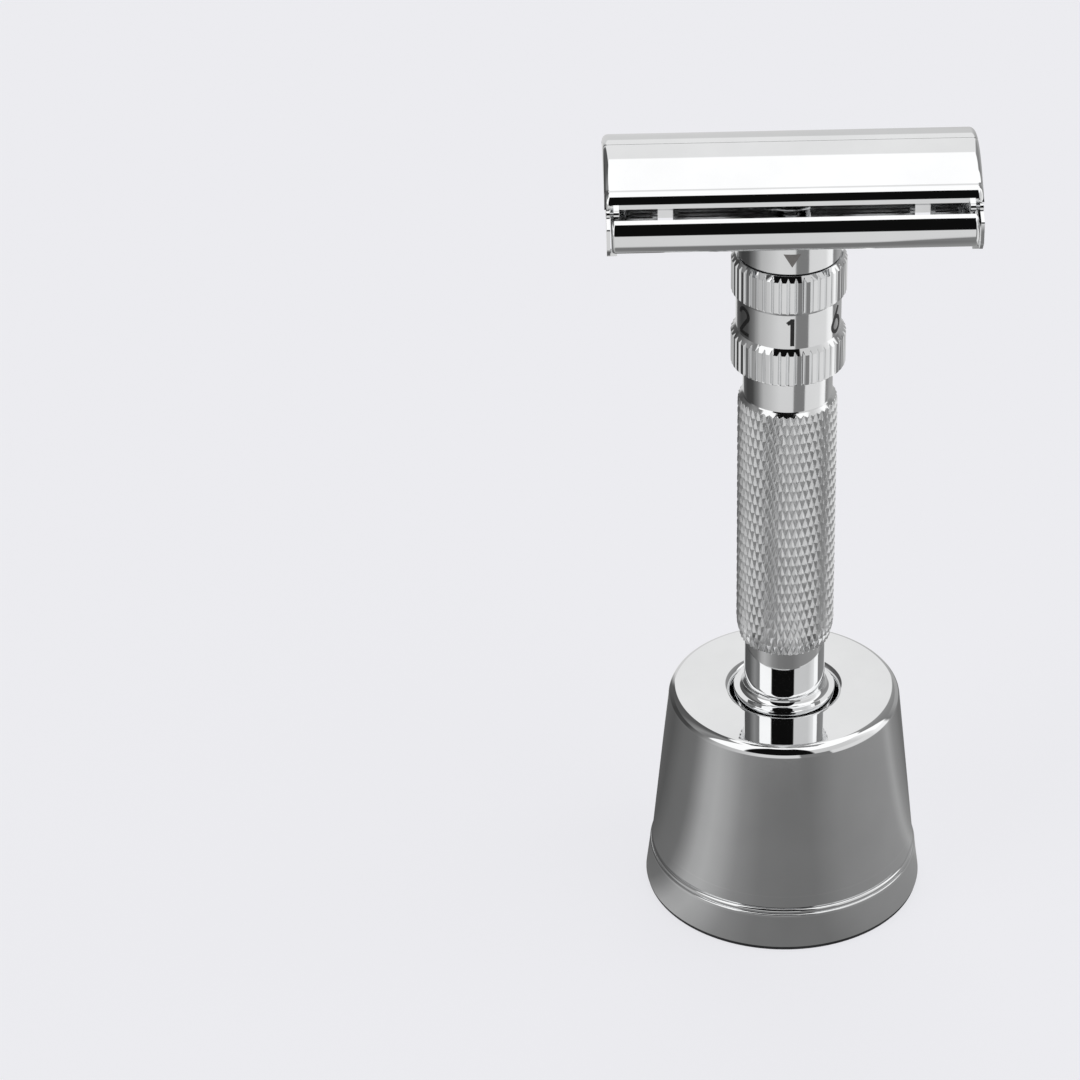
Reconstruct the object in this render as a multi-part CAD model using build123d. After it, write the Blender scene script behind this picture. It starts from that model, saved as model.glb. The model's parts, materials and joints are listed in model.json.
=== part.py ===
from build123d import *
import math
import os

# Adjustable twist-to-open safety razor standing in its weighted desk stand.
# Millimetres, +Z up. The origin is on the table, under the middle of the stand.
# The head lies along X; the pointer, the numeral 1 and the front door face -Y.

# ---------------------------------------------------------------- driving dimensions
HEAD_LENGTH = 44.5          # over the closed doors
HEAD_TOP = 106.6            # seam between the doors, above the table
STAND_HEIGHT = 29.0
FOOT_RADIUS = 17.8
GRIP_RADIUS = 6.14          # over the knurling
RING_RADIUS = 7.0           # over the two grooved dial rings
PAD_THICKNESS = 0.5
SETTINGS = 6                # numerals on the dial
BAR_REACH = 12.2            # guard bar, out from the middle
PIVOT_Y = 9.6               # door pins, out from the middle
PIVOT_Z = 102.3
CLEAR = 0.08                # flat faces that move over each other
FIT = 0.06                  # radial clearance of running fits

# ---------------------------------------------------------------- stand
LEDGE_HEIGHT = 6.15         # bottom of the tapered wall
GROOVE_HEIGHT = 5.88        # bottom of the groove under the wall
STEP_HEIGHT = 5.22          # bottom of the rounded step under the groove
FOOT_TOP = 4.75
WALL_BOTTOM_RADIUS = 16.93
WALL_TOP_RADIUS = 14.62     # where wall and top would meet without the rim's rounding
GROOVE_RADIUS = 16.66
STEP_RADIUS = 17.08
FOOT_TOP_RADIUS = 17.25
RIM_ROUNDING = 1.4
LIP_ROUNDING = 1.1
SOCKET_RADIUS = 6.75
LINER_BORE = 7.35           # wider part of the socket, which holds the liner
LINER_THICKNESS = 0.5
SOCKET_FLOOR = 10.2
CUSHION_THICKNESS = 1.0
BASE_PLATE_TOP = 2.5
BASE_PLATE_RADIUS = 16.0
BOLT_RADIUS = 2.0

# ---------------------------------------------------------------- razor heights
KNOB_BOTTOM = SOCKET_FLOOR + CUSHION_THICKNESS + 0.15
FLANGE_TOP = 29.2
BARREL_BOTTOM = 37.25
SHOULDER = 72.3             # top of the knurling
COLLAR_TOP = 76.8
DIAL_BOTTOM = COLLAR_TOP + 0.25
LOWER_RING_TOP = 81.2
BAND_BOTTOM = 81.9
BAND_TOP = 86.45
DIAL_TOP = 91.87
NECK_TOP = 97.4
GUARD_UNDERSIDE = 98.8
GUARD_FLOOR = 99.8
LIFTER_BOTTOM = 99.95
LIFTER_THICKNESS = 0.8
POST_TOP = 102.3
BED_UNDERSIDE = 102.4
BED_CREST = 103.45
DOOR_LIP = 102.5            # lowest edge of a closed door

# ---------------------------------------------------------------- razor radii and widths
ROD_RADIUS = 1.98
KNOB_RADIUS = 5.13
FLANGE_RADIUS = 6.46
COLLAR_RADIUS = 5.5
BAND_RADIUS = 6.42
NECK_RADIUS = 6.33
CORE_RADIUS = 4.6           # neck tube inside the dial
BARREL_BORE = 3.3
POST_RADIUS = 4.5
POST_BORE = 2.7
LAND_RADIUS = 5.2           # threaded land inside the dial
HEAD_HALF = HEAD_LENGTH / 2
PLATE_OUTSIDE = HEAD_HALF - 0.2
PLATE_THICKNESS = 0.4
PLATE_INSIDE = PLATE_OUTSIDE - PLATE_THICKNESS
BAR_HALF = PLATE_INSIDE - 0.15
BAR_RADIUS = 2.49           # rolled outer face of the guard bars
BAR_AXIS = (BAR_REACH - BAR_RADIUS, 99.79)
TONGUE_END = PLATE_INSIDE - 0.05   # bed, against the end plates
BED_HALF = 19.75
BED_REACH = 8.4
BED_HOLLOW = 6.8            # half-width of the hollow between the bed's ribs
RIB_BOTTOM = 100.8
YOKE_INSIDE = 19.9
YOKE_THICKNESS = 0.5
EAR_INSIDE = 20.55
EAR_THICKNESS = 0.65
PIN_RADIUS = 0.3
EYE_RADIUS = 0.5
RIVET_Y = 4.0               # rivets that hold the end plates to the bed
RIVET_Z = 101.75
SCREW_Y = 3.6               # screws that hold the bed to the neck's posts
LIP_RADIUS = 1.82           # rolled lip along the doors' long edges
LIP_AXIS = (7.0, 102.38)
DOOR_RADIUS = 11.65         # arch of the doors
DOOR_WALL = 0.9
END_ROUNDING = 0.7          # arched ends of the doors
GROOVES = 45                # V-grooves round each dial ring
GROOVE_DEPTH = 0.38
ENGRAVING = 0.2


# ---------------------------------------------------------------- helpers
def outline(points):
    """Closed face through (u, v) points; a third value rounds that corner."""
    face = make_face(Polyline(*[(p[0], p[1]) for p in points], close=True))
    for point in points:
        if len(point) == 3:
            corner = face.vertices().sort_by_distance((point[0], point[1], 0))[0]
            face = fillet(corner, point[2])
    return face


def turned(points):
    """Solid of revolution about Z from (radius, height) points."""
    return revolve(Plane.XZ * outline(points), Axis.Z)


def tube(inner, outer, low, high):
    return turned([(inner, low), (outer, low), (outer, high), (inner, high)])


def rod(radius, low, high, x=0.0, y=0.0):
    length = high - low
    return Pos(x, y, low + length / 2) * Cylinder(radius, length)


def cross_rod(radius, start, end, y, z):
    """Cylinder along X."""
    length = end - start
    return Pos(start + length / 2, y, z) * Rot(0, 90, 0) * Cylinder(radius, length)


def block(x, y, z):
    """Box from (low, high) pairs."""
    size = [high - low for low, high in (x, y, z)]
    middle = [(high + low) / 2 for low, high in (x, y, z)]
    return Pos(*middle) * Box(*size)


def along_x(face, low, high):
    """Extrude a face drawn in (y, z) from x = low to x = high."""
    return Pos(low, 0, 0) * extrude(Plane.YZ * face, high - low)


def rolled(axis, radius, tilt):
    """Point of a rolled edge in (y, z) where its outward normal leans tilt degrees from straight up."""
    angle = math.radians(tilt)
    return (axis[0] + radius * math.sin(angle), axis[1] + radius * math.cos(angle))


def both_ends(piece):
    return [piece, mirror(piece, Plane.YZ)]


def both_sides(piece):
    return [piece, mirror(piece, Plane.XZ)]


# ---------------------------------------------------------------- stand pieces
def stand_shell():
    """Tapered chromed casting with a stepped foot, a socket cup and a hollow underside."""
    cup_radius = LINER_BORE + 1.25
    cup_bottom = SOCKET_FLOOR - 2.2
    ceiling = STAND_HEIGHT - 2.6
    body = turned([
        (0, SOCKET_FLOOR),
        (LINER_BORE, SOCKET_FLOOR),
        (LINER_BORE, STAND_HEIGHT - 1.6),
        (SOCKET_RADIUS, STAND_HEIGHT - 1.6),
        (SOCKET_RADIUS, STAND_HEIGHT, LIP_ROUNDING),
        (WALL_TOP_RADIUS, STAND_HEIGHT, RIM_ROUNDING),
        (WALL_BOTTOM_RADIUS, LEDGE_HEIGHT),
        (GROOVE_RADIUS, LEDGE_HEIGHT - 0.15),
        (GROOVE_RADIUS, GROOVE_HEIGHT),
        (STEP_RADIUS, GROOVE_HEIGHT, 0.38),
        (STEP_RADIUS, STEP_HEIGHT + 0.11),
        (STEP_RADIUS - 0.11, STEP_HEIGHT),
        (FOOT_TOP_RADIUS - 0.01, STEP_HEIGHT, 0.22),
        (FOOT_TOP_RADIUS, FOOT_TOP),
        (FOOT_RADIUS, PAD_THICKNESS, 0.1),
        (BASE_PLATE_RADIUS, PAD_THICKNESS),
        (BASE_PLATE_RADIUS, BASE_PLATE_TOP),
        (14.6, BASE_PLATE_TOP),
        (12.4, ceiling),
        (cup_radius, ceiling),
        (cup_radius, cup_bottom),
        (0, cup_bottom),
    ])
    return body - rod(BOLT_RADIUS + 0.05, cup_bottom - 1, SOCKET_FLOOR - 0.5)


def stand_weight():
    """Iron slug that fills the hollow round and below the socket cup."""
    cup_radius = LINER_BORE + 1.4
    cup_bottom = SOCKET_FLOOR - 2.35
    top = STAND_HEIGHT - 2.8
    low = BASE_PLATE_TOP + 0.1
    slug = turned([(0, low), (14.4, low), (12.25, top), (cup_radius, top),
                   (cup_radius, cup_bottom), (0, cup_bottom)])
    return slug - rod(BOLT_RADIUS + 0.1, low - 1, cup_bottom + 1)


def stand_base_plate():
    plate = tube(BOLT_RADIUS + 0.1, BASE_PLATE_RADIUS - 0.05, PAD_THICKNESS + 0.02, BASE_PLATE_TOP - 0.02)
    return plate - rod(BOLT_RADIUS + 1.7, 0, PAD_THICKNESS + 1.3)


def base_bolt():
    """One central bolt clamps base plate, weight and shell together."""
    return turned([(0, PAD_THICKNESS + 0.1), (BOLT_RADIUS + 1.6, PAD_THICKNESS + 0.1),
                   (BOLT_RADIUS + 1.6, PAD_THICKNESS + 1.25), (BOLT_RADIUS, PAD_THICKNESS + 1.25),
                   (BOLT_RADIUS, SOCKET_FLOOR - 0.7), (0, SOCKET_FLOOR - 0.7)])


def base_pad():
    return rod(FOOT_RADIUS - 0.15, 0, PAD_THICKNESS)


def socket_liner():
    return tube(LINER_BORE - 0.05 - LINER_THICKNESS, LINER_BORE - 0.05, SOCKET_FLOOR + 0.05,
                STAND_HEIGHT - 1.65)


def socket_cushion():
    return rod(LINER_BORE - LINER_THICKNESS - 0.15, SOCKET_FLOOR, SOCKET_FLOOR + CUSHION_THICKNESS)


# ---------------------------------------------------------------- handle pieces
def handle_barrel():
    """Knurled grip with a plain collar above it; the knurling stands within GRIP_RADIUS."""
    return turned([
        (4.6, BARREL_BOTTOM),
        (GRIP_RADIUS - 0.45, BARREL_BOTTOM),
        (GRIP_RADIUS, BARREL_BOTTOM + 1.95),
        (GRIP_RADIUS, SHOULDER - 0.45),
        (COLLAR_RADIUS + 0.1, SHOULDER + 0.1),
        (COLLAR_RADIUS, SHOULDER + 0.25),
        (COLLAR_RADIUS, COLLAR_TOP, 0.12),
        (4.42, COLLAR_TOP),
        (4.42, COLLAR_TOP - 7.2),
        (BARREL_BORE, COLLAR_TOP - 7.2),
        (BARREL_BORE, BARREL_BOTTOM + 4.0),
        (4.6, BARREL_BOTTOM + 4.0),
    ])


def rod_bush():
    return tube(ROD_RADIUS + FIT, 4.57, BARREL_BOTTOM + 0.55, BARREL_BOTTOM + 3.95)


def knob_washer():
    return tube(ROD_RADIUS + 0.25, 4.4, BARREL_BOTTOM + 0.05, BARREL_BOTTOM + 0.5)


def neck_tube():
    """Neck between dial and head: core tube, visible collar, and two posts that carry the bed."""
    flange_bottom = DIAL_TOP + CLEAR
    body = turned([
        (BARREL_BORE, COLLAR_TOP - 7.1),
        (4.38, COLLAR_TOP - 7.1),
        (4.38, COLLAR_TOP + 0.02),
        (CORE_RADIUS, COLLAR_TOP + 0.02),
        (CORE_RADIUS, flange_bottom),
        (NECK_RADIUS, flange_bottom, 0.15),
        (NECK_RADIUS, NECK_TOP, 0.25),
        (POST_RADIUS, NECK_TOP),
        (POST_RADIUS, POST_TOP),
        (POST_BORE, POST_TOP),
        (POST_BORE, COLLAR_TOP + 17),
        (BARREL_BORE, COLLAR_TOP + 17),
    ])
    body -= block((-6, 6), (-1.6, 1.6), (GUARD_FLOOR, POST_TOP + 1))
    for slot in both_ends(block((4.55, 5.2), (-1.05, 1.05), (flange_bottom - 1, NECK_TOP + 1))):
        body -= slot
    for hole in both_sides(rod(0.55, POST_TOP - 2, POST_TOP + 1, y=SCREW_Y)):
        body -= hole
    return body - pointer_fill()


def pointer_fill():
    """Painted triangle let into the front of the neck, pointing down at the dial."""
    half_width = 1.05
    low = 93.0
    high = 94.75
    triangle = make_face(Polyline((0, low), (half_width, high), (-half_width, high), close=True))
    prism = extrude(Plane.XZ * triangle, 2 * NECK_RADIUS)
    return prism & tube(NECK_RADIUS - ENGRAVING, NECK_RADIUS, low - 1, high + 1)


def dial_washer():
    return tube(CORE_RADIUS + 0.05, COLLAR_RADIUS - 0.2, COLLAR_TOP + 0.02, DIAL_BOTTOM - 0.03)


# ---------------------------------------------------------------- dial pieces
def grooved_prism(low, high):
    """Prism with GROOVES V-shaped grooves round it and flat lands between them."""
    pitch = 2 * math.pi / GROOVES
    points = []
    for i in range(GROOVES):
        middle = i * pitch
        for offset, radius in ((-0.27, RING_RADIUS), (0.27, RING_RADIUS), (0.5, RING_RADIUS - GROOVE_DEPTH)):
            angle = middle + offset * pitch
            points.append((radius * math.cos(angle), radius * math.sin(angle)))
    return Pos(0, 0, low) * extrude(make_face(Polyline(*points, close=True)), high - low)


def numeral_strokes(number):
    """Centre lines of a plain numeral in a cell about 2.2 wide and 3.5 high, middle at (0, 0)."""
    top = 1.65
    half = 0.85
    if number == 1:
        return [Line((-0.5, 1.15), (0.1, top)), Line((0.1, top + 0.2), (0.1, -top - 0.2))]
    if number == 2:
        return [ThreePointArc((-half, 0.85), (0.15, top), (0.62, 0.2)),
                Line((0.68, 0.32), (-half, -top)),
                Line((-half - 0.1, -top), (half + 0.1, -top))]
    if number == 3:
        return [ThreePointArc((-0.7, 1.2), (0.75, 0.85), (-0.1, 0.1)),
                ThreePointArc((-0.1, 0.1), (0.85, -0.8), (-0.8, -1.15))]
    if number == 4:
        return [Line((0.35, -top - 0.2), (0.35, top + 0.2)),
                Line((0.35, top), (-half, -0.75)),
                Line((-half - 0.1, -0.75), (half + 0.1, -0.75))]
    if number == 5:
        return [Line((0.75, top), (-0.65, top)),
                Line((-0.5, top), (-0.65, 0.2)),
                ThreePointArc((-0.65, 0.25), (0.85, -0.55), (-0.75, -1.3))]
    return [Line((0.5, top), (-0.72, -0.3)),
            ThreePointArc((-0.72, -0.3), (0, -top), (0.72, -0.3)),
            ThreePointArc((0.72, -0.3), (0.2, 0.3), (-0.55, 0.1))]


def dial_numerals():
    """Six painted numerals let into the band, 60 degrees apart, 1 at the front."""
    stroke = 0.5
    middle = (BAND_BOTTOM + BAND_TOP) / 2
    skin = tube(BAND_RADIUS - ENGRAVING, BAND_RADIUS, BAND_BOTTOM, BAND_TOP)
    fills = []
    for i in range(SETTINGS):
        face = Sketch() + [trace(line, stroke) for line in numeral_strokes(i + 1)]
        prism = extrude(Plane.XZ * face, 2 * BAND_RADIUS)
        fill = (Pos(0, 0, middle) * prism) & skin
        fills.append(Rot(0, 0, -360 / SETTINGS * i) * fill)
    return fills


def dial_sleeve(numerals):
    """Setting dial: two grooved rings with the numbered band between them."""
    body = turned([
        (CORE_RADIUS + FIT, DIAL_BOTTOM),
        (RING_RADIUS - 0.1, DIAL_BOTTOM),
        (RING_RADIUS, DIAL_BOTTOM + 0.1),
        (RING_RADIUS, LOWER_RING_TOP),
        (BAND_RADIUS, BAND_BOTTOM),
        (BAND_RADIUS, BAND_TOP),
        (RING_RADIUS, BAND_TOP + 0.6),
        (RING_RADIUS, DIAL_TOP - 0.67),
        (RING_RADIUS - 0.5, DIAL_TOP),
        (5.35, DIAL_TOP),
        (5.35, BAND_TOP),
        (LAND_RADIUS, BAND_TOP),
        (LAND_RADIUS, DIAL_BOTTOM + 2.7),
        (CORE_RADIUS + FIT, DIAL_BOTTOM + 2.7),
    ])
    rings = grooved_prism(DIAL_BOTTOM - 1, BAND_BOTTOM) + grooved_prism(BAND_TOP, DIAL_TOP + 1)
    body &= rings + rod(BAND_RADIUS, BAND_BOTTOM - 0.5, BAND_TOP + 0.5)
    for fill in numerals:
        body -= fill
    return body


# ---------------------------------------------------------------- guard pieces
def guard_plate():
    """Guard with its two rolled bars; the bars' height sets the blade gap."""
    top = rolled(BAR_AXIS, BAR_RADIUS, 24)
    side = rolled(BAR_AXIS, BAR_RADIUS, 76)
    bottom = rolled(BAR_AXIS, BAR_RADIUS, 128)
    inside = [bottom, (bottom[0] - 0.35, bottom[1] - 0.02), (bottom[0] - 0.85, GUARD_UNDERSIDE),
              (0, GUARD_UNDERSIDE), (0, GUARD_FLOOR), (BAR_REACH - 2.1, GUARD_FLOOR),
              (top[0] - 0.12, GUARD_FLOOR + 0.9), (top[0] - 0.12, top[1] - 0.08), top]
    half = make_face([ThreePointArc(top, side, bottom), Polyline(*inside)])
    body = along_x(half, -BAR_HALF, BAR_HALF)
    body += mirror(body, Plane.XZ)
    body -= rod(POST_RADIUS + 0.35, GUARD_UNDERSIDE - 1, GUARD_FLOOR + 1)
    for x_low, x_high in ((7.4, 12.6), (13.8, 19.0)):
        window = block((x_low, x_high), (4.0, 8.8), (GUARD_UNDERSIDE - 1, GUARD_FLOOR + 1))
        for side in both_sides(window):
            for end in both_ends(side):
                body -= end
    for hole in both_ends(rod(0.45, GUARD_UNDERSIDE - 1, GUARD_FLOOR + 1, x=5.75)):
        body -= hole
    for hole in both_ends(rod(0.8, GUARD_FLOOR - 0.5, GUARD_FLOOR + 1, x=5.75)):
        body -= hole
    return body


def guard_lift_ring():
    """Threaded ring inside the dial with two legs that carry the guard."""
    ring_top = 85.4
    body = tube(CORE_RADIUS + CLEAR, LAND_RADIUS - 0.05, ring_top - 3.0, ring_top)
    for leg in both_ends(block((4.68, 5.05), (-0.9, 0.9), (ring_top - 0.5, GUARD_UNDERSIDE - 0.05))):
        body += leg
    foot = block((4.68, 6.6), (-1.3, 1.3), (GUARD_UNDERSIDE - 0.6, GUARD_UNDERSIDE - 0.05))
    foot -= rod(0.42, GUARD_UNDERSIDE - 1, GUARD_UNDERSIDE, x=5.75)
    for piece in both_ends(foot):
        body += piece
    return body


def guard_screws():
    screw = rod(0.4, GUARD_UNDERSIDE - 0.55, GUARD_FLOOR - 0.45, x=5.75)
    screw += rod(0.75, GUARD_FLOOR - 0.45, GUARD_FLOOR - 0.05, x=5.75)
    return both_ends(screw)


# ---------------------------------------------------------------- knob pieces
def twist_knob():
    """Knob that opens the doors: plain stem, flared flange and the grip that stands in the socket."""
    body = turned([
        (0, KNOB_BOTTOM),
        (5.4, KNOB_BOTTOM, 0.4),
        (FLANGE_RADIUS - 0.16, KNOB_BOTTOM + 0.9),
        (FLANGE_RADIUS - 0.16, FLANGE_TOP - 1.9),
        (FLANGE_RADIUS - 0.6, FLANGE_TOP - 1.6),
        (FLANGE_RADIUS - 0.6, FLANGE_TOP - 1.2),
        (FLANGE_RADIUS, FLANGE_TOP - 0.95),
        (FLANGE_RADIUS, FLANGE_TOP - 0.08),
        (FLANGE_RADIUS - 0.08, FLANGE_TOP),
        (KNOB_RADIUS, FLANGE_TOP + 0.1, 0.85),
        (KNOB_RADIUS, BARREL_BOTTOM - CLEAR, 0.15),
        (ROD_RADIUS + 0.04, BARREL_BOTTOM - CLEAR),
        (ROD_RADIUS + 0.04, KNOB_BOTTOM + 3.5),
        (0, KNOB_BOTTOM + 3.5),
    ])
    return body - cross_rod(0.62, -8, 8, 0, KNOB_BOTTOM + 8.0)


def drive_rod():
    """Rod from the knob to the lifter, with its screw thread drawn as rings near the top."""
    low = KNOB_BOTTOM + 3.6
    high = 92.0
    thread_low = 77.2
    pitch = 1.2
    points = [(0, low), (ROD_RADIUS, low), (ROD_RADIUS, thread_low)]
    height = thread_low
    while height + pitch < high:
        points.append((ROD_RADIUS - 0.35, height + pitch / 2))
        points.append((ROD_RADIUS, height + pitch * 0.9))
        points.append((ROD_RADIUS, height + pitch))
        height += pitch
    points += [(ROD_RADIUS - 0.4, high), (0, high)]
    return turned(points) - cross_rod(0.62, -8, 8, 0, KNOB_BOTTOM + 8.0)


def knob_pin():
    return cross_rod(0.6, -5.9, 5.9, 0, KNOB_BOTTOM + 8.0)


# ---------------------------------------------------------------- lifter pieces
def lifter_sleeve():
    """Nut on the rod's thread, guided in the neck, that pushes the lifter bar up."""
    step = COLLAR_TOP + 14.4
    return turned([
        (ROD_RADIUS + FIT, 76.0),
        (BARREL_BORE - CLEAR, 76.0),
        (BARREL_BORE - CLEAR, step),
        (POST_BORE - CLEAR, step),
        (POST_BORE - CLEAR, LIFTER_BOTTOM - 0.01),
        (0, LIFTER_BOTTOM - 0.01),
        (0, LIFTER_BOTTOM - 1.5),
        (ROD_RADIUS + FIT, LIFTER_BOTTOM - 1.5),
    ])


def lifter_bar():
    half = YOKE_INSIDE - 0.02
    return block((-half, half), (-1.4, 1.4), (LIFTER_BOTTOM, LIFTER_BOTTOM + LIFTER_THICKNESS))


def lifter_yoke():
    """Cross piece at the right end of the lifter bar, with a finger under each door's ear."""
    low = LIFTER_BOTTOM
    high = low + LIFTER_THICKNESS
    finger = high + 1.15
    face = make_face(Polyline((-9.5, low), (9.5, low), (9.5, finger), (8.9, finger), (8.9, high),
                              (-8.9, high), (-8.9, finger), (-9.5, finger), close=True))
    return along_x(face, YOKE_INSIDE, YOKE_INSIDE + YOKE_THICKNESS)


# ---------------------------------------------------------------- head pieces
def bed_height(y):
    """Height of the blade bed's crowned top, BED_CREST in the middle."""
    crown_radius = 31.2
    return BED_CREST - crown_radius + math.sqrt(crown_radius ** 2 - y ** 2)


def crowned_plate(reach, low, half_length):
    edge = bed_height(reach)
    top = ThreePointArc((reach, edge), (0, BED_CREST), (-reach, edge))
    rest = Polyline((-reach, edge), (-reach, low), (reach, low), (reach, edge))
    return along_x(make_face([top, rest]), -half_length, half_length)


def blade_bed():
    """Crowned bed under the blade: drain notches, grooved ribs, locating nubs, end tongues."""
    body = crowned_plate(BED_REACH, RIB_BOTTOM, BED_HALF)
    body -= block((-BED_HALF, BED_HALF), (-BED_HOLLOW, BED_HOLLOW), (RIB_BOTTOM, BED_UNDERSIDE))
    body += crowned_plate(7.0, BED_UNDERSIDE, TONGUE_END)
    for wall_end in both_ends(block((TONGUE_END - 0.4, TONGUE_END), (-6, 6), (101.2, BED_UNDERSIDE + 0.2))):
        body += wall_end
    notch_z = (RIB_BOTTOM - 1, BED_CREST + 1)
    for x_low, x_high in ((-2.0, 2.0), (14.2, 16.0), (-16.0, -14.2)):
        for notch in both_sides(block((x_low, x_high), (BED_HOLLOW - 0.2, BED_REACH + 1), notch_z)):
            body -= notch
    for x_low, x_high in ((2.6, 13.6), (-13.6, -2.6), (16.6, 19.2), (-19.2, -16.6)):
        for low in (RIB_BOTTOM + 0.3, RIB_BOTTOM + 0.8):
            for channel in both_sides(block((x_low, x_high), (BED_REACH - 0.25, BED_REACH + 1), (low, low + 0.25))):
                body -= channel
    nub = extrude(SlotOverall(7.0, 2.2), BED_CREST + 0.75 - BED_UNDERSIDE)
    for x in (-13.0, 13.0):
        body += Pos(x, 0, BED_UNDERSIDE) * nub
    for hole in both_sides(rod(0.55, BED_UNDERSIDE - 1, BED_CREST + 1, y=SCREW_Y)):
        body -= hole
    for recess in both_sides(rod(0.95, BED_UNDERSIDE + 0.45, BED_CREST + 1, y=SCREW_Y)):
        body -= recess
    for hole in both_sides(cross_rod(0.47, TONGUE_END - 1, TONGUE_END + 1, RIVET_Y, RIVET_Z)):
        for end in both_ends(hole):
            body -= end
    return body


def bed_screws():
    screw = rod(0.5, POST_TOP - 1.8, BED_UNDERSIDE + 0.5, y=SCREW_Y)
    screw += rod(0.9, BED_UNDERSIDE + 0.5, BED_CREST - 0.3, y=SCREW_Y)
    return both_sides(screw)


def end_plate():
    """Plate closing the head's right end; it carries the door pins and hooks under the guard."""
    foot_low = 97.3
    half = [(0, 99.2), (6.0, 99.2), (8.7, 98.2), (9.4, foot_low), (10.6, foot_low), (11.9, 98.7),
            (12.0, 101.5), (10.4, 102.05), (PIVOT_Y, PIVOT_Z), (9.1, 102.05), (8.4, 102.3), (0, 102.3)]
    left_half = [(-y, z) for y, z in reversed(half[1:-1])]
    body = along_x(make_face(Polyline(*half, *left_half, close=True)), PLATE_INSIDE, PLATE_OUTSIDE)
    for y in (-PIVOT_Y, PIVOT_Y):
        body += cross_rod(EYE_RADIUS, PLATE_INSIDE, PLATE_OUTSIDE, y, PIVOT_Z)
        body -= cross_rod(PIN_RADIUS + 0.01, PLATE_INSIDE - 1, PLATE_OUTSIDE + 1, y, PIVOT_Z)
    foot = block((PLATE_INSIDE - 0.8, PLATE_INSIDE), (9.4, 10.5), (foot_low, foot_low + 0.4))
    for piece in both_sides(foot):
        body += piece
    for y in (-RIVET_Y, RIVET_Y):
        body -= cross_rod(0.47, PLATE_INSIDE - 1, PLATE_OUTSIDE + 1, y, RIVET_Z)
    return body


def end_rivets():
    rivets = []
    for y in (-RIVET_Y, RIVET_Y):
        rivet = cross_rod(0.45, TONGUE_END - 0.6, PLATE_OUTSIDE, y, RIVET_Z)
        rivet += cross_rod(0.65, PLATE_OUTSIDE, HEAD_HALF - 0.05, y, RIVET_Z)
        rivets += both_ends(rivet)
    return rivets


def door_pins():
    pins = []
    for y in (-PIVOT_Y, PIVOT_Y):
        pins += both_ends(cross_rod(PIN_RADIUS, EAR_INSIDE - 0.05, PLATE_OUTSIDE + 0.05, y, PIVOT_Z))
    return pins


def arch_point(radius, y):
    """Point of the doors' arch in (y, z)."""
    return (y, HEAD_TOP - DOOR_RADIUS + math.sqrt(radius ** 2 - y ** 2))


def crease_point():
    """Point in (y, z) where the arch runs into the rolled lip."""
    y, z = LIP_AXIS[0], LIP_AXIS[1] - (HEAD_TOP - DOOR_RADIUS)
    apart = math.hypot(y, z)
    along = (DOOR_RADIUS ** 2 - LIP_RADIUS ** 2 + apart ** 2) / (2 * apart)
    across = math.sqrt(DOOR_RADIUS ** 2 - along ** 2)
    return arch_point(DOOR_RADIUS, (y * along - z * across) / apart)


def door_section():
    """Outline of the rear door in (y, z) with its inside still solid."""
    crease = crease_point()
    seam_y = 0.03
    start = arch_point(DOOR_RADIUS, seam_y)
    arch = ThreePointArc(start, arch_point(DOOR_RADIUS, crease[0] / 2), crease)
    end = rolled(LIP_AXIS, LIP_RADIUS, 85)
    lip = ThreePointArc(crease, rolled(LIP_AXIS, LIP_RADIUS, 45), end)
    face = make_face([arch, lip, Polyline(end, (8.7, DOOR_LIP), (seam_y, DOOR_LIP), start)])
    corner = face.vertices().sort_by_distance((*crease, 0))[0]
    return fillet(corner, 0.2)


def door_cavity():
    """Outline in (y, z) of the hollow under the rear door's skin."""
    inner_radius = DOOR_RADIUS - DOOR_WALL
    seam_y = -1.0
    start = arch_point(inner_radius, seam_y)
    end = arch_point(inner_radius, 6.9)
    arch = ThreePointArc(start, arch_point(inner_radius, 3.45), end)
    ledge = 102.85
    low = DOOR_LIP - 1
    rest = Polyline(end, (7.2, ledge), (7.85, ledge), (7.95, DOOR_LIP), (7.95, low), (seam_y, low), start)
    return make_face([arch, rest])


def door_rear():
    """Rear butterfly door: arched skin with a rolled lip, end walls, and an ear at each end."""
    body = along_x(door_section(), -HEAD_HALF, HEAD_HALF)
    body = fillet(body.edges().filter_by(GeomType.CIRCLE), END_ROUNDING)
    body -= along_x(door_cavity(), -HEAD_HALF + 0.5, HEAD_HALF - 0.5)
    arm = make_face(Polyline((PIVOT_Y, PIVOT_Z - 0.4), (PIVOT_Y, PIVOT_Z + 0.4), (9.2, 102.85), (8.6, 103.1),
                             (8.3, 103.2), (8.05, 102.9), (8.05, 102.6), (8.6, 102.0), (9.1, 101.9), close=True))
    ear = along_x(arm, EAR_INSIDE, EAR_INSIDE + EAR_THICKNESS)
    ear += cross_rod(EYE_RADIUS - 0.02, EAR_INSIDE, EAR_INSIDE + EAR_THICKNESS, PIVOT_Y, PIVOT_Z)
    for piece in both_ends(ear):
        body += piece
    for hole in both_ends(cross_rod(PIN_RADIUS + 0.05, EAR_INSIDE - 1, HEAD_HALF - 0.6, PIVOT_Y, PIVOT_Z)):
        body -= hole
    return body


# ---------------------------------------------------------------- write one file per node
def as_group(pieces):
    """Several separate solids that share one node."""
    solids = []
    for piece in pieces:
        solids += piece.solids()
    return Compound(children=solids)


numerals = dial_numerals()
yoke = lifter_yoke()
plate = end_plate()
rear = door_rear()

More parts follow.
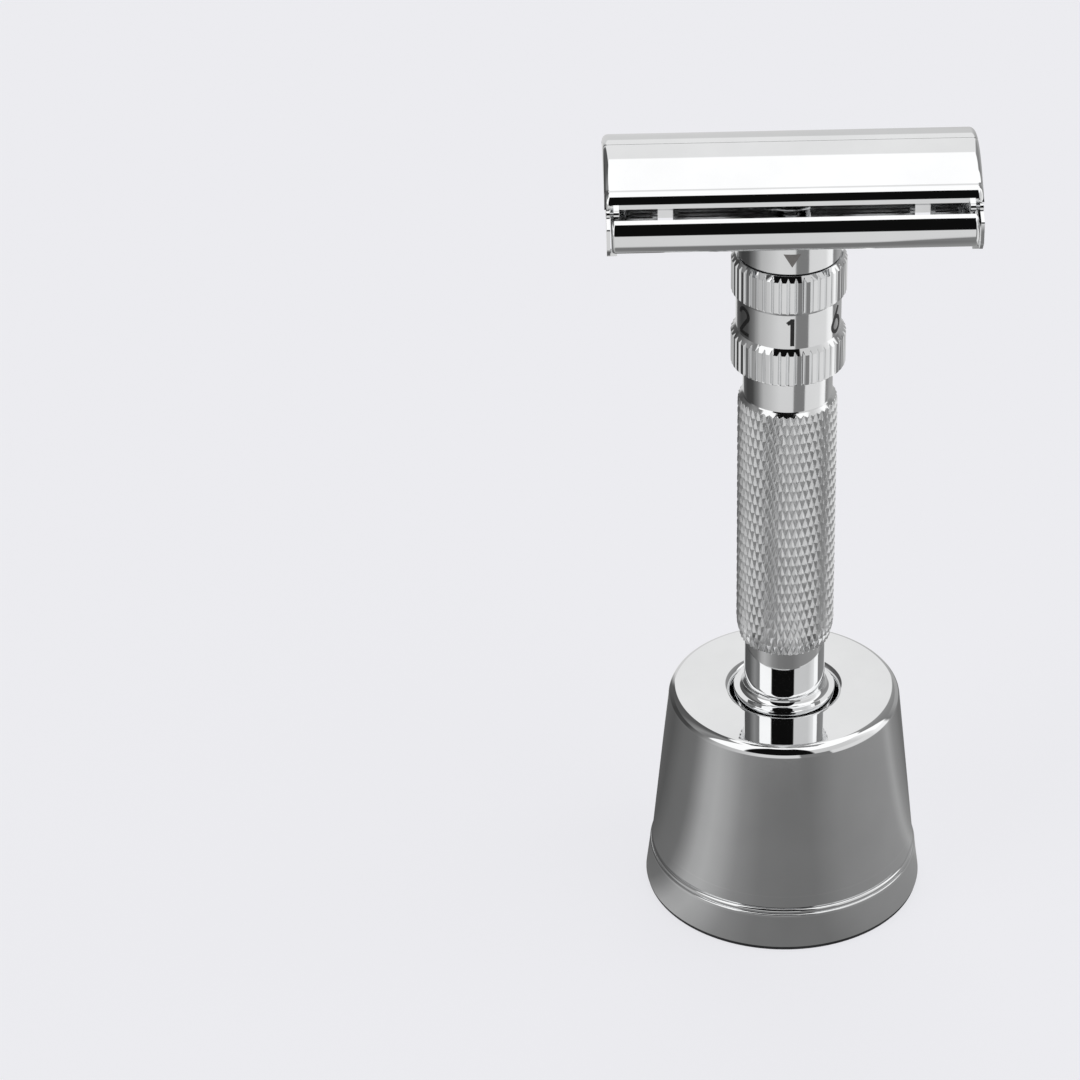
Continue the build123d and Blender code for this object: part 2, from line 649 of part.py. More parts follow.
nodes = {
    "stand_shell": stand_shell(),
    "stand_weight": stand_weight(),
    "stand_base_plate": stand_base_plate(),
    "base_bolt": base_bolt(),
    "base_pad": base_pad(),
    "socket_liner": socket_liner(),
    "socket_cushion": socket_cushion(),
    "handle_barrel": handle_barrel(),
    "rod_bush": rod_bush(),
    "knob_washer": knob_washer(),
    "neck_tube": neck_tube(),
    "neck_pointer": pointer_fill(),
    "dial_washer": dial_washer(),
    "dial_sleeve": dial_sleeve(numerals),
    "dial_numerals": as_group(numerals),
    "guard_plate": guard_plate(),
    "guard_lift_ring": guard_lift_ring(),
    "guard_screws": as_group(guard_screws()),
    "twist_knob": twist_knob(),
    "drive_rod": drive_rod(),
    "knob_pin": knob_pin(),
    "lifter_sleeve": lifter_sleeve(),
    "lifter_bar": lifter_bar(),
    "lifter_yoke_right": yoke,
    "lifter_yoke_left": mirror(yoke, Plane.YZ),
    "blade_bed": blade_bed(),
    "bed_screws": as_group(bed_screws()),
    "end_plate_right": plate,
    "end_plate_left": mirror(plate, Plane.YZ),
    "end_rivets": as_group(end_rivets()),
    "door_pins": as_group(door_pins()),
    "door_rear": rear,
    "door_front": mirror(rear, Plane.XZ),
}

os.makedirs("parts", exist_ok=True)
for name, shape in nodes.items():
    export_step(shape, f"parts/{name}.step")
    print(name, len(shape.solids()), round(shape.volume, 2))
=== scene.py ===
import json
import math
import random

import bmesh
import bpy
from mathutils import Matrix, Vector


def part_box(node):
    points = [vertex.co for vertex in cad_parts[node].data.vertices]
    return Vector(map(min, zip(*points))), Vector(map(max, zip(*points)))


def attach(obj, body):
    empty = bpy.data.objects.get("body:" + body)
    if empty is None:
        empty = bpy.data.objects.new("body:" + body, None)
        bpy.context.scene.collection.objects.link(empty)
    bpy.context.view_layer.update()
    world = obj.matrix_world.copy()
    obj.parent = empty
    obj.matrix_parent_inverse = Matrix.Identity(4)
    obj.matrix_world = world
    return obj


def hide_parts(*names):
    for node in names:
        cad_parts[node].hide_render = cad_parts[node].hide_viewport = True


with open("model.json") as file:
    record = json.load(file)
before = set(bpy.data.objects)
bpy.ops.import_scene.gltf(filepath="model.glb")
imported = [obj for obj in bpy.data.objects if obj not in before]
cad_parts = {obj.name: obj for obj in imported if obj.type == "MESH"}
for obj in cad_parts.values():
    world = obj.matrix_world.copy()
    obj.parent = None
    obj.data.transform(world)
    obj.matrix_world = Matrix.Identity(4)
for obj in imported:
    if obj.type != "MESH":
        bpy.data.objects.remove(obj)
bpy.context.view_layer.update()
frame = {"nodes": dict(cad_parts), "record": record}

# Safety razor standing in its weighted stand. Lengths below are millimetres unless a name says otherwise.
MM = 0.001
record = frame["record"]
body_of = {node: body for body, nodes in record["behaviour"]["bodies"].items() for node in nodes}
slot_of = {part["node"]: part["material_slot"] for part in record["subparts"]}


def box(node):
    """Lowest and highest corner of a CAD node in millimetres."""
    low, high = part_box(node)
    return low / MM, high / MM


# ---------------------------------------------------------------- dimensions, most of them from the frame
FOOT_RADIUS = box("stand_shell")[1].x
STAND_TOP = box("stand_shell")[1].z
PAD_TOP = box("base_pad")[1].z
PAD_RADIUS = box("base_pad")[1].x
LINER_TOP = box("socket_liner")[1].z
SOCKET_FLOOR = box("socket_cushion")[0].z
KNOB_BOTTOM = box("twist_knob")[0].z
KNOB_TOP = box("twist_knob")[1].z
FLANGE_RADIUS = box("twist_knob")[1].x
GRIP_BOTTOM = box("handle_barrel")[0].z
GRIP_RADIUS = 6.14           # over the knurling
GRIP_BORE = 3.3
COLLAR_TOP = box("handle_barrel")[1].z
DIAL_BOTTOM = box("dial_sleeve")[0].z
DIAL_TOP = box("dial_sleeve")[1].z
RING_RADIUS = 7.0            # over the grooved dial rings
NECK_BOTTOM = box("neck_tube")[0].z
NECK_RADIUS = 6.33
POST_TOP = box("neck_tube")[1].z
HEAD_HALF = box("door_front")[1].x
HEAD_TOP = box("door_front")[1].z
BAR_HALF = box("guard_plate")[1].x
BAR_REACH = box("guard_plate")[1].y
GUARD_UNDERSIDE = 98.8
PLATE_OUTSIDE = box("end_plate_right")[1].x
PLATE_INSIDE = PLATE_OUTSIDE - 0.4
PIVOT = (9.6, 102.3)         # hinge line of the rear door, in (y, z)
BED_HALF = 19.75
BED_REACH = box("blade_bed")[1].y
BED_END = box("blade_bed")[1].x
BED_UNDERSIDE = 102.4
BED_CREST = 103.45
GUARD_FLOOR = 99.8
BAR_RADIUS = 2.49            # rolled outer face of the guard bars
WALL_BOTTOM = (16.93, 6.15)  # lower end of the stand's tapered wall, as radius and height
FOOT_TOP = 4.75
SOCKET_RADIUS = 6.75
STEM_RADIUS = 5.13
CORE_RADIUS = 4.6            # neck tube inside the dial
COUNTERBORE = 4.42           # wide part of the grip's bore, at the top
PIN_HOLE = 0.62              # cross pin through the knob
PIN_RISE = 8.0               # the cross pin, above the knob's lower end
SCREW_Y = 3.6                # screws that hold the bed to the neck's posts
SCREW_HOLE = 0.55
GUARD_SCREW_X = 5.75
GUARD_SCREW_HOLE = 0.45
GUARD_SCREW_RECESS = 0.8
RIVET = (4.0, 101.75)        # rivets that hold the end plates to the bed, in (y, z)
RIVET_HOLE = 0.47


# ---------------------------------------------------------------- mesh helpers
def make_mesh(name, points, faces):
    """Closed mesh object from millimetre points, with its normals facing out."""
    mesh = bpy.data.meshes.new(name)
    mesh.from_pydata([Vector(point) * MM for point in points], [], faces)
    work = bmesh.new()
    work.from_mesh(mesh)
    bmesh.ops.recalc_face_normals(work, faces=work.faces)
    work.to_mesh(mesh)
    work.free()
    piece = bpy.data.objects.new(name, mesh)
    bpy.context.scene.collection.objects.link(piece)
    return piece


def rounded(points, chord=9.0):
    """Closed outline whose corners with a third value become arcs of that radius."""
    result = []
    for i, point in enumerate(points):
        here = Vector(point[:2])
        if len(point) == 2:
            result.append(here)
            continue
        back = (Vector(points[i - 1][:2]) - here).normalized()
        ahead = (Vector(points[(i + 1) % len(points)][:2]) - here).normalized()
        half = back.angle(ahead) / 2
        centre = here + (back + ahead).normalized() * point[2] / math.sin(half)
        start = here + back * point[2] / math.tan(half) - centre
        turn = math.pi - 2 * half
        if back.cross(ahead) > 0:
            turn = -turn
        steps = max(2, math.ceil(abs(math.degrees(turn)) / chord))
        for k in range(steps + 1):
            angle = turn * k / steps
            x = start.x * math.cos(angle) - start.y * math.sin(angle)
            y = start.x * math.sin(angle) + start.y * math.cos(angle)
            result.append(centre + Vector((x, y)))
    return result


def ring_faces(rings, columns, closed):
    """Quads between successive rings of points; closed joins the last ring to the first."""
    faces = []
    count = rings if closed else rings - 1
    for i in range(count):
        low = i * columns
        high = (i + 1) % rings * columns
        for j in range(columns):
            k = (j + 1) % columns
            faces.append((low + j, low + k, high + k, high + j))
    return faces


def lathe(name, outline, turns=192):
    """Surface of revolution about Z from a closed outline of (radius, height) points."""
    points = []
    faces = []
    rows = []
    for radius, height in outline:
        start = len(points)
        if radius < 1e-6:
            points.append((0, 0, height))
            rows.append([start] * turns)
            continue
        for i in range(turns):
            angle = 2 * math.pi * i / turns
            points.append((radius * math.cos(angle), radius * math.sin(angle), height))
        rows.append(list(range(start, start + turns)))
    for row, following in zip(rows, rows[1:] + rows[:1]):
        for i in range(turns):
            k = (i + 1) % turns
            corners = [row[i], row[k], following[k], following[i]]
            unique = [c for n, c in enumerate(corners) if c not in corners[:n]]
            if len(unique) > 2:
                faces.append(unique)
    return make_mesh(name, points, faces)


def loft_x(name, sections):
    """Solid through (x, outline) sections, each outline a closed list of (y, z) points."""
    points = [(x, y, z) for x, outline in sections for y, z in outline]
    columns = len(sections[0][1])
    faces = ring_faces(len(sections), columns, False)
    faces.append(tuple(range(columns)))
    faces.append(tuple(range(len(points) - columns, len(points))))
    return make_mesh(name, points, faces)


def prism_z(name, outline, low, high):
    points = [(x, y, low) for x, y in outline] + [(x, y, high) for x, y in outline]
    columns = len(outline)
    faces = ring_faces(2, columns, False)
    faces.append(tuple(range(columns)))
    faces.append(tuple(range(columns, 2 * columns)))
    return make_mesh(name, points, faces)


def block(x, y, z):
    """Box from (low, high) pairs."""
    return prism_z("block", [(x[0], y[0]), (x[1], y[0]), (x[1], y[1]), (x[0], y[1])], z[0], z[1])


def circle(radius, middle=(0, 0), sides=40):
    angles = [2 * math.pi * i / sides for i in range(sides)]
    return [(middle[0] + radius * math.cos(a), middle[1] + radius * math.sin(a)) for a in angles]


def rod_x(radius, low, high, y, z, sides=40):
    outline = circle(radius, (y, z), sides)
    return loft_x("rod", [(low, outline), (high, outline)])


def rod_z(radius, low, high, x=0.0, y=0.0, sides=64):
    return prism_z("rod", circle(radius, (x, y), sides), low, high)


def mirrored(pieces, axis):
    """The pieces and their mirror images through the plane square to axis 0 (x) or 1 (y)."""
    result = list(pieces)
    for piece in pieces:
        points = []
        for vertex in piece.data.vertices:
            point = vertex.co / MM
            point[axis] = -point[axis]
            points.append(point)
        faces = [tuple(face.vertices) for face in piece.data.polygons]
        result.append(make_mesh(piece.name, points, faces))
    return result


def bake(piece):
    """Turns the piece's modifiers into plain mesh."""
    graph = bpy.context.evaluated_depsgraph_get()
    mesh = bpy.data.meshes.new_from_object(piece.evaluated_get(graph))
    piece.modifiers.clear()
    piece.data = mesh


def combine(piece, others, operation):
    """Boolean of the piece with each of the others, which are used up."""
    for other in others:
        change = piece.modifiers.new(operation, "BOOLEAN")
        change.operation = operation
        change.solver = "EXACT"
        change.object = other
    bake(piece)
    for other in others:
        bpy.data.objects.remove(other)


def bevel(piece, width, segments=2, angle=40):
    change = piece.modifiers.new("edges", "BEVEL")
    change.width = width * MM
    change.segments = segments
    change.limit_method = "ANGLE"
    change.angle_limit = math.radians(angle)
    change.harden_normals = False
    return change


def merged(name, pieces):
    """One mesh object that holds several separate solids."""
    points = []
    faces = []
    for piece in pieces:
        start = len(points)
        points += [vertex.co / MM for vertex in piece.data.vertices]
        faces += [tuple(start + corner for corner in face.vertices) for face in piece.data.polygons]
        bpy.data.objects.remove(piece)
    return make_mesh(name, points, faces)


def smooth(piece, angle=30):
    """Smooth shading with the sharp edges kept, and large faces leading the normals."""
    piece.data.shade_smooth()
    piece.data.set_sharp_from_angle(angle=math.radians(angle))
    change = piece.modifiers.new("normals", "WEIGHTED_NORMAL")
    change.keep_sharp = True
    change.weight = 50


def stand_for(piece, node, *materials):
    """The piece replaces a CAD node, which it hides, and takes that node's body; its materials are the ones
    given.
    """
    piece.data.materials.clear()
    for finish in materials:
        piece.data.materials.append(finish)
    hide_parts(node)
    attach(piece, body_of[node])


# ---------------------------------------------------------------- materials
class Nodes:
    """Short way to add and join shader nodes."""

    def __init__(self, tree):
        self.tree = tree
        tree.nodes.clear()

    def add(self, kind, **settings):
        node = self.tree.nodes.new(kind)
        for key, value in settings.items():
            setattr(node, key, value)
        return node

    def join(self, source, target):
        self.tree.links.new(source, target)

    def math(self, operation, first, second=None):
        node = self.add("ShaderNodeMath", operation=operation)
        for socket, value in zip(node.inputs, (first, second)):
            if value is None:
                continue
            if isinstance(value, (int, float)):
                socket.default_value = value
            else:
                self.join(value, socket)
        return node.outputs[0]

    def between(self, value, low, high, to_low, to_high, smooth_step=False):
        node = self.add("ShaderNodeMapRange", clamp=True)
        if smooth_step:
            node.interpolation_type = "SMOOTHSTEP"
        self.join(value, node.inputs["Value"])
        for name, number in (("From Min", low), ("From Max", high), ("To Min", to_low), ("To Max", to_high)):
            node.inputs[name].default_value = number
        return node.outputs["Result"]

    def noise(self, scale, detail=2.0, roughness=0.5):
        """Noise in object space; scale is per millimetre along x, y and z."""
        place = self.add("ShaderNodeTexCoord")
        shape = self.add("ShaderNodeMapping")
        shape.inputs["Scale"].default_value = [number / MM for number in scale]
        self.join(place.outputs["Object"], shape.inputs["Vector"])
        noise = self.add("ShaderNodeTexNoise")
        noise.inputs["Scale"].default_value = 1.0
        noise.inputs["Detail"].default_value = detail
        noise.inputs["Roughness"].default_value = roughness
        self.join(shape.outputs["Vector"], noise.inputs["Vector"])
        return noise.outputs[0]

    def mix(self, factor, first, second):
        node = self.add("ShaderNodeMix", data_type="RGBA")
        self.join(factor, node.inputs["Factor"])
        for index, value in ((6, first), (7, second)):
            if isinstance(value, (tuple, list)):
                node.inputs[index].default_value = (*value, 1.0)
            else:
                self.join(value, node.inputs[index])
        return node.outputs[2]


PATCHES = (0.12, 0.12, 0.12)  # scale of the slow drift in tint and roughness, per millimetre


def metal(name, dark, light, rough, grain, relief):
    """Metal whose tint drifts between two colours and whose roughness drifts between two values.

    grain is the scale of the surface marks per millimetre, relief their height in micrometres."""
    material = bpy.data.materials.new(name)
    material.use_nodes = True
    n = Nodes(material.node_tree)
    shader = n.add("ShaderNodeBsdfPrincipled")
    output = n.add("ShaderNodeOutputMaterial")
    n.join(shader.outputs[0], output.inputs["Surface"])
    shader.inputs["Metallic"].default_value = 1.0
    broad = n.noise(PATCHES, 3.0)
    n.join(n.mix(n.between(broad, 0.3, 0.7, 0.0, 1.0), dark, light), shader.inputs["Base Color"])
    marks = n.noise(grain, 3.0, 0.6)
    wear = n.math("MULTIPLY", n.math("ADD", broad, marks), 0.5)
    n.join(n.between(wear, 0.35, 0.65, rough[0], rough[1]), shader.inputs["Roughness"])
    bump = n.add("ShaderNodeBump")
    bump.inputs["Strength"].default_value = 1.0
    bump.inputs["Distance"].default_value = relief * 1e-6
    n.join(marks, bump.inputs["Height"])
    n.join(bump.outputs[0], shader.inputs["Normal"])
    return material


def coating(name, dark, light, rough, grain, relief):
    """Rubber or paint: not metal, with a fine grain."""
    material = metal(name, dark, light, rough, grain, relief)
    shader = next(node for node in material.node_tree.nodes if node.type == "BSDF_PRINCIPLED")
    shader.inputs["Metallic"].default_value = 0.0
    return material


CHROME_DARK = (0.88, 0.885, 0.89)
CHROME_LIGHT = (0.93, 0.935, 0.94)
polished = metal("polished_chrome", CHROME_DARK, CHROME_LIGHT, (0.015, 0.045), (0.5, 0.5, 0.5), 0.7)
turned = metal("turned_chrome", CHROME_DARK, CHROME_LIGHT, (0.08, 0.13), (0.25, 0.25, 3.5), 0.9)
ground = metal("ground_chrome", (0.78, 0.785, 0.79), CHROME_DARK, (0.10, 0.22), (0.6, 4.0, 3.0), 4.0)
knurled = metal("knurled_chrome", (0.84, 0.845, 0.85), CHROME_LIGHT, (0.26, 0.33), (1.4, 1.4, 1.4), 1.0)
satin = metal("satin_chrome", (0.83, 0.835, 0.84), (0.88, 0.885, 0.89), (0.10, 0.15), (1.8, 1.8, 2.2), 0.2)
grainy = metal("grainy_chrome", (0.80, 0.805, 0.81), (0.86, 0.865, 0.87), (0.15, 0.2), (3.2, 3.2, 3.2), 0.8)
steel = metal("turned_steel", (0.50, 0.51, 0.52), (0.62, 0.63, 0.64), (0.18, 0.32), (0.5, 0.5, 6.0), 2.0)
brass = metal("machined_brass", (0.60, 0.44, 0.18), (0.76, 0.60, 0.30), (0.18, 0.34), (0.5, 0.5, 6.0), 2.0)
iron = metal("cast_iron", (0.13, 0.13, 0.135), (0.22, 0.22, 0.225), (0.5, 0.7), (2.5, 2.5, 2.5), 30.0)
rubber = coating("black_rubber", (0.018, 0.018, 0.02), (0.035, 0.035, 0.038), (0.55, 0.75),
                 (3.0, 3.0, 3.0), 10.0)
numeral_paint = coating("numeral_paint", (0.008, 0.008, 0.008), (0.02, 0.02, 0.02), (0.35, 0.5),
                        (5.0, 5.0, 5.0), 4.0)
pointer_paint = coating("pointer_paint", (0.20, 0.185, 0.175), (0.25, 0.235, 0.22), (0.35, 0.5),
                        (5.0, 5.0, 5.0), 4.0)

finish_of = {"steel": steel, "brass": brass, "iron": iron, "rubber": rubber, "numeral_paint": numeral_paint,
             "pointer_paint": pointer_paint, "polished_chrome": polished, "satin_chrome": satin,
             "knurled_chrome": knurled}
for node, shape in frame["nodes"].items():
    shape.data.materials.clear()
    shape.data.materials.append(finish_of[slot_of[node]])


# ---------------------------------------------------------------- stand
def tapered_shell():
    """Tapered casting with a stepped foot and a socket cup; polished top and ledge, satin wall and foot."""
    wall_bottom, ledge = WALL_BOTTOM
    scribed = 7.75          # fine line turned round the wall, just above the ledge
    scribed_radius = wall_bottom - 0.101 * (scribed - ledge)
    liner_bore = 7.35
    cup = liner_bore + 1.25
    cup_bottom = SOCKET_FLOOR - 2.2
    ceiling = STAND_TOP - 2.6
    bolt = 2.05
    outline = rounded([
        (0, SOCKET_FLOOR),
        (liner_bore, SOCKET_FLOOR),
        (liner_bore, LINER_TOP + 0.05),
        (SOCKET_RADIUS, LINER_TOP + 0.05),
        (SOCKET_RADIUS, STAND_TOP, 1.1),
        (14.62, STAND_TOP, 1.4),
        (scribed_radius - 0.006, scribed + 0.06),
        (scribed_radius - 0.015, scribed),
        (scribed_radius + 0.006, scribed - 0.06),
        (wall_bottom, ledge),
        (16.66, ledge - 0.15),
        (16.66, 5.88),
        (17.08, 5.88, 0.38),
        (17.08, 5.33),
        (16.97, 5.22),
        (17.24, 5.22, 0.22),
        (17.25, FOOT_TOP),
        (FOOT_RADIUS, PAD_TOP, 0.1),
        (16.0, PAD_TOP),
        (16.0, 2.5),
        (14.6, 2.5),
        (12.4, ceiling),
        (cup, ceiling),
        (cup, cup_bottom),
        (bolt, cup_bottom),
        (bolt, SOCKET_FLOOR - 0.5),
        (0, SOCKET_FLOOR - 0.5),
    ])
    piece = lathe("tapered_shell", outline, 256)
    smooth(piece)
    stand_for(piece, "stand_shell", polished, satin, grainy)
    for face in piece.data.polygons:
        middle = face.center / MM
        radius = math.hypot(middle.x, middle.y)
        if radius > 14.3 and ledge - 0.05 < middle.z < STAND_TOP - 1.25 and face.normal.z < 0.3:
            face.material_index = 1
        elif radius > wall_bottom and middle.z < FOOT_TOP:
            face.material_index = 2


def foot_pad():
    outline = rounded([(0, 0), (PAD_RADIUS, 0, 0.12), (PAD_RADIUS, PAD_TOP, 0.12), (0, PAD_TOP)])
    piece = lathe("foot_pad", outline, 128)
    smooth(piece)
    stand_for(piece, "base_pad", rubber)


# ---------------------------------------------------------------- handle
def twist_knob():
    """Knob below the grip, with its cove, its flange and the part that stands in the socket."""
    flange_top = 29.2
    bore = 2.02
    outline = rounded([
        (0, KNOB_BOTTOM),
        (5.4, KNOB_BOTTOM, 0.4),
        (FLANGE_RADIUS - 0.16, KNOB_BOTTOM + 0.9, 0.3),
        (FLANGE_RADIUS - 0.16, flange_top - 1.9),
        (FLANGE_RADIUS - 0.6, flange_top - 1.6),
        (FLANGE_RADIUS - 0.6, flange_top - 1.2),
        (FLANGE_RADIUS, flange_top - 0.95, 0.1),
        (FLANGE_RADIUS, flange_top - 0.08),
        (FLANGE_RADIUS - 0.08, flange_top),
        (STEM_RADIUS, flange_top + 0.1, 0.85),
        (STEM_RADIUS, KNOB_TOP, 0.15),
        (bore, KNOB_TOP),
        (bore, KNOB_BOTTOM + 3.5),
        (0, KNOB_BOTTOM + 3.5),
    ], 7)
    piece = lathe("twist_knob_turned", outline)
    combine(piece, [rod_x(PIN_HOLE, -8, 8, 0, KNOB_BOTTOM + PIN_RISE)], "DIFFERENCE")
    smooth(piece)
    stand_for(piece, "twist_knob", polished)


def column_ring(radii, height, columns):
    """Ring of points at one height; radii is one radius or a list of one per column."""
    ring = []
    for i in range(columns):
        radius = radii[i] if isinstance(radii, list) else radii
        angle = 2 * math.pi * i / columns - math.pi / 2
        ring.append((radius * math.cos(angle), radius * math.sin(angle), height))
    return ring


def knurled_grip():
    """Grip with real diamond knurling, cut off by the chamfer below and the cone above."""
    around = 44             # diamonds round the grip
    pitch = 2.7             # height of one diamond
    depth = 0.30            # of the grooves, were the diamonds sharp
    flat = 0.8              # share of that depth left under their blunt tips
    fine = 5                # mesh steps along half a diamond
    shoulder = 72.3
    chamfer_height = 1.95
    cone_bottom = shoulder - 0.45
    columns = around * 2 * fine
    row_step = pitch / 2 / fine
    chance = random.Random(3)
    tips = {}

    def wave(value):
        return 1 - abs(2 * (value % 1.0) - 1)

    def radius_at(column, height):
        across = around * column / columns
        up = (height - GRIP_BOTTOM) / pitch
        knurl = depth * (flat - min(flat, wave(across + up), wave(across - up)))
        cell = (math.floor(across + up) % around, math.floor(across - up) % around)
        if cell not in tips:
            tips[cell] = chance.uniform(0.0, 0.02)
        cone = GRIP_RADIUS - (height - cone_bottom)
        chamfer = GRIP_RADIUS - 0.45 * (chamfer_height - height + GRIP_BOTTOM) / chamfer_height
        return min(min(GRIP_RADIUS, chamfer) - knurl - tips[cell], cone)

    count = math.ceil((shoulder + 0.1 - GRIP_BOTTOM) / row_step)
    heights = [min(GRIP_BOTTOM + i * row_step, shoulder + 0.1) for i in range(count + 1)]
    heights = sorted(set(heights + [cone_bottom + 0.1 * i for i in range(1, 5)]))
    points = []
    for height in heights:
        points += column_ring([radius_at(i, height) for i in range(columns)], height, columns)
    plain = rounded([
        (5.5, shoulder + 0.25, 0.1),
        (5.5, COLLAR_TOP, 0.12),
        (COUNTERBORE, COLLAR_TOP),
        (COUNTERBORE, COLLAR_TOP - 7.2),
        (GRIP_BORE, COLLAR_TOP - 7.2),
        (GRIP_BORE, GRIP_BOTTOM + 4.0),
        (CORE_RADIUS, GRIP_BOTTOM + 4.0),
        (CORE_RADIUS, GRIP_BOTTOM),
    ])
    for radius, height in plain:
        points += column_ring(radius, height, columns)
    faces = []
    for face in ring_faces(len(heights) + len(plain), columns, True):
        row, column = divmod(face[0], columns)
        if row >= len(heights) - 1:
            faces.append(face)
            continue
        across = math.floor(2 * around * (column + 0.5) / columns)
        up = math.floor((heights[row] + heights[row + 1] - 2 * GRIP_BOTTOM) / pitch)
        a, b, c, d = face
        if (across + up) % 2 == 0:
            faces += [(a, b, c), (a, c, d)]
        else:
            faces += [(a, b, d), (b, c, d)]
    piece = make_mesh("knurled_grip", points, faces)
    smooth(piece, 12)
    stand_for(piece, "handle_barrel", knurled, turned)
    for face in piece.data.polygons:
        if face.center.z / MM > cone_bottom + 0.1:
            face.material_index = 1


# ---------------------------------------------------------------- neck and dial
def neck():
    """Neck between dial and head: core tube, visible collar, and the two posts that carry the bed."""
    flange_bottom = DIAL_TOP + 0.08
    neck_top = 97.4
    outer = NECK_RADIUS - 0.015
    post = 4.5
    post_bore = 2.7
    step = COLLAR_TOP + 17
    outline = rounded([
        (GRIP_BORE, NECK_BOTTOM),
        (4.38, NECK_BOTTOM),
        (4.38, COLLAR_TOP + 0.02),
        (CORE_RADIUS, COLLAR_TOP + 0.02),
        (CORE_RADIUS, flange_bottom),
        (outer, flange_bottom, 0.15),
        (outer, neck_top, 0.25),
        (post, neck_top),
        (post, POST_TOP, 0.15),
        (post_bore, POST_TOP),
        (post_bore, step),
        (GRIP_BORE, step),
    ])
    piece = lathe("neck_collar", outline)
    cuts = [block((-6, 6), (-1.6, 1.6), (GUARD_FLOOR, POST_TOP + 1))]
    cuts += mirrored([block((4.55, 5.2), (-1.05, 1.05), (flange_bottom - 1, neck_top + 1))], 0)
    cuts += mirrored([rod_z(SCREW_HOLE, POST_TOP - 2, POST_TOP + 1, 0, SCREW_Y, 24)], 1)
    combine(piece, cuts, "DIFFERENCE")
    smooth(piece)
    stand_for(piece, "neck_tube", turned)


def setting_dial():
    """Dial with two grooved rings and the plain band that holds the numerals."""
    grooves = 45
    groove_depth = 0.38
    land = 0.27             # half-width of the land between two grooves, in shares of the pitch
    broken_edge = 0.01      # taken off the land's edges
    half = (0.1, 0.25, 0.285, 0.31, 0.35, 0.39, 0.43, 0.47)
    offsets = [-offset for offset in reversed(half)] + list(half)
    band_low = 81.9
    band_high = 86.45
    band = 6.42 - 0.015
    ring_low_top = 81.2
    ring_high_bottom = band_high + 0.6
    columns = grooves * len(offsets)

    def groove_radius(offset):
        fall = max(0.0, abs(offset) - land) / (0.5 - land)
        edge = broken_edge if abs(abs(offset) - land) < 0.02 else 0.0
        return RING_RADIUS - groove_depth * fall - edge

    turned_rows = [(RING_RADIUS - 0.1, DIAL_BOTTOM, True), (RING_RADIUS, DIAL_BOTTOM + 0.1, True)]
    turned_rows += [(RING_RADIUS, ring_low_top, True)]
    steps = 10
    for i in range(1, steps + 1):
        part = i / steps
        turned_rows.append((RING_RADIUS + (band - RING_RADIUS) * part,
                            ring_low_top + (band_low - ring_low_top) * part, True))
    turned_rows += [(band, band_low + 0.03, False), (band, band_high - 0.03, False)]
    for i in range(steps + 1):
        part = i / steps
        turned_rows.append((band + (RING_RADIUS - band) * part,
                            band_high + (ring_high_bottom - band_high) * part, True))
    turned_rows.append((RING_RADIUS, DIAL_TOP - 0.67, True))
    for i in range(1, steps + 1):
        part = i / steps
        turned_rows.append((RING_RADIUS - 0.5 * part, DIAL_TOP - 0.67 * (1 - part), True))
    core = 4.66
    land_radius = 5.2
    inside = [(5.35, DIAL_TOP), (5.35, band_high), (land_radius, band_high), (land_radius, DIAL_BOTTOM + 2.7),
              (core, DIAL_BOTTOM + 2.7), (core, DIAL_BOTTOM)]
    turned_rows += [(radius, height, False) for radius, height in inside]
    points = []
    for radius, height, cut in turned_rows:
        for i in range(columns):
            groove, place = divmod(i, len(offsets))
            angle = 2 * math.pi * (groove + offsets[place]) / grooves - math.pi / 2
            here = min(radius, groove_radius(offsets[place])) if cut else radius
            points.append((here * math.cos(angle), here * math.sin(angle), height))
    piece = make_mesh("setting_dial", points, ring_faces(len(turned_rows), columns, True))
    smooth(piece, 24)
    stand_for(piece, "dial_sleeve", polished, turned)
    for face in piece.data.polygons:
        height = face.center.z / MM
        if band_low < height < band_high and math.hypot(face.center.x, face.center.y) / MM > 6:
            face.material_index = 1


# ---------------------------------------------------------------- head
def rolled(axis, radius, tilt):
    """Point of a rolled edge in (y, z) where its normal leans tilt degrees from straight up."""
    angle = math.radians(tilt)
    return (axis[0] + radius * math.sin(angle), axis[1] + radius * math.cos(angle))


def rolled_arc(axis, radius, start, end, steps):
    return [rolled(axis, radius, start + (end - start) * i / steps) for i in range(steps + 1)]


def end_sections(half_length, rounding, outline_at, steps=6):
    """Sections along X whose ends are rounded; outline_at gives the outline for an inset."""
    sections = []
    for i in range(steps + 1):
        angle = math.pi / 2 * i / steps
        inset = rounding * (1 - math.sin(angle))
        reach = half_length - rounding * (1 - math.cos(angle))
        sections.append((-reach, outline_at(inset)))
    return sections + [(-x, outline) for x, outline in reversed(sections)]


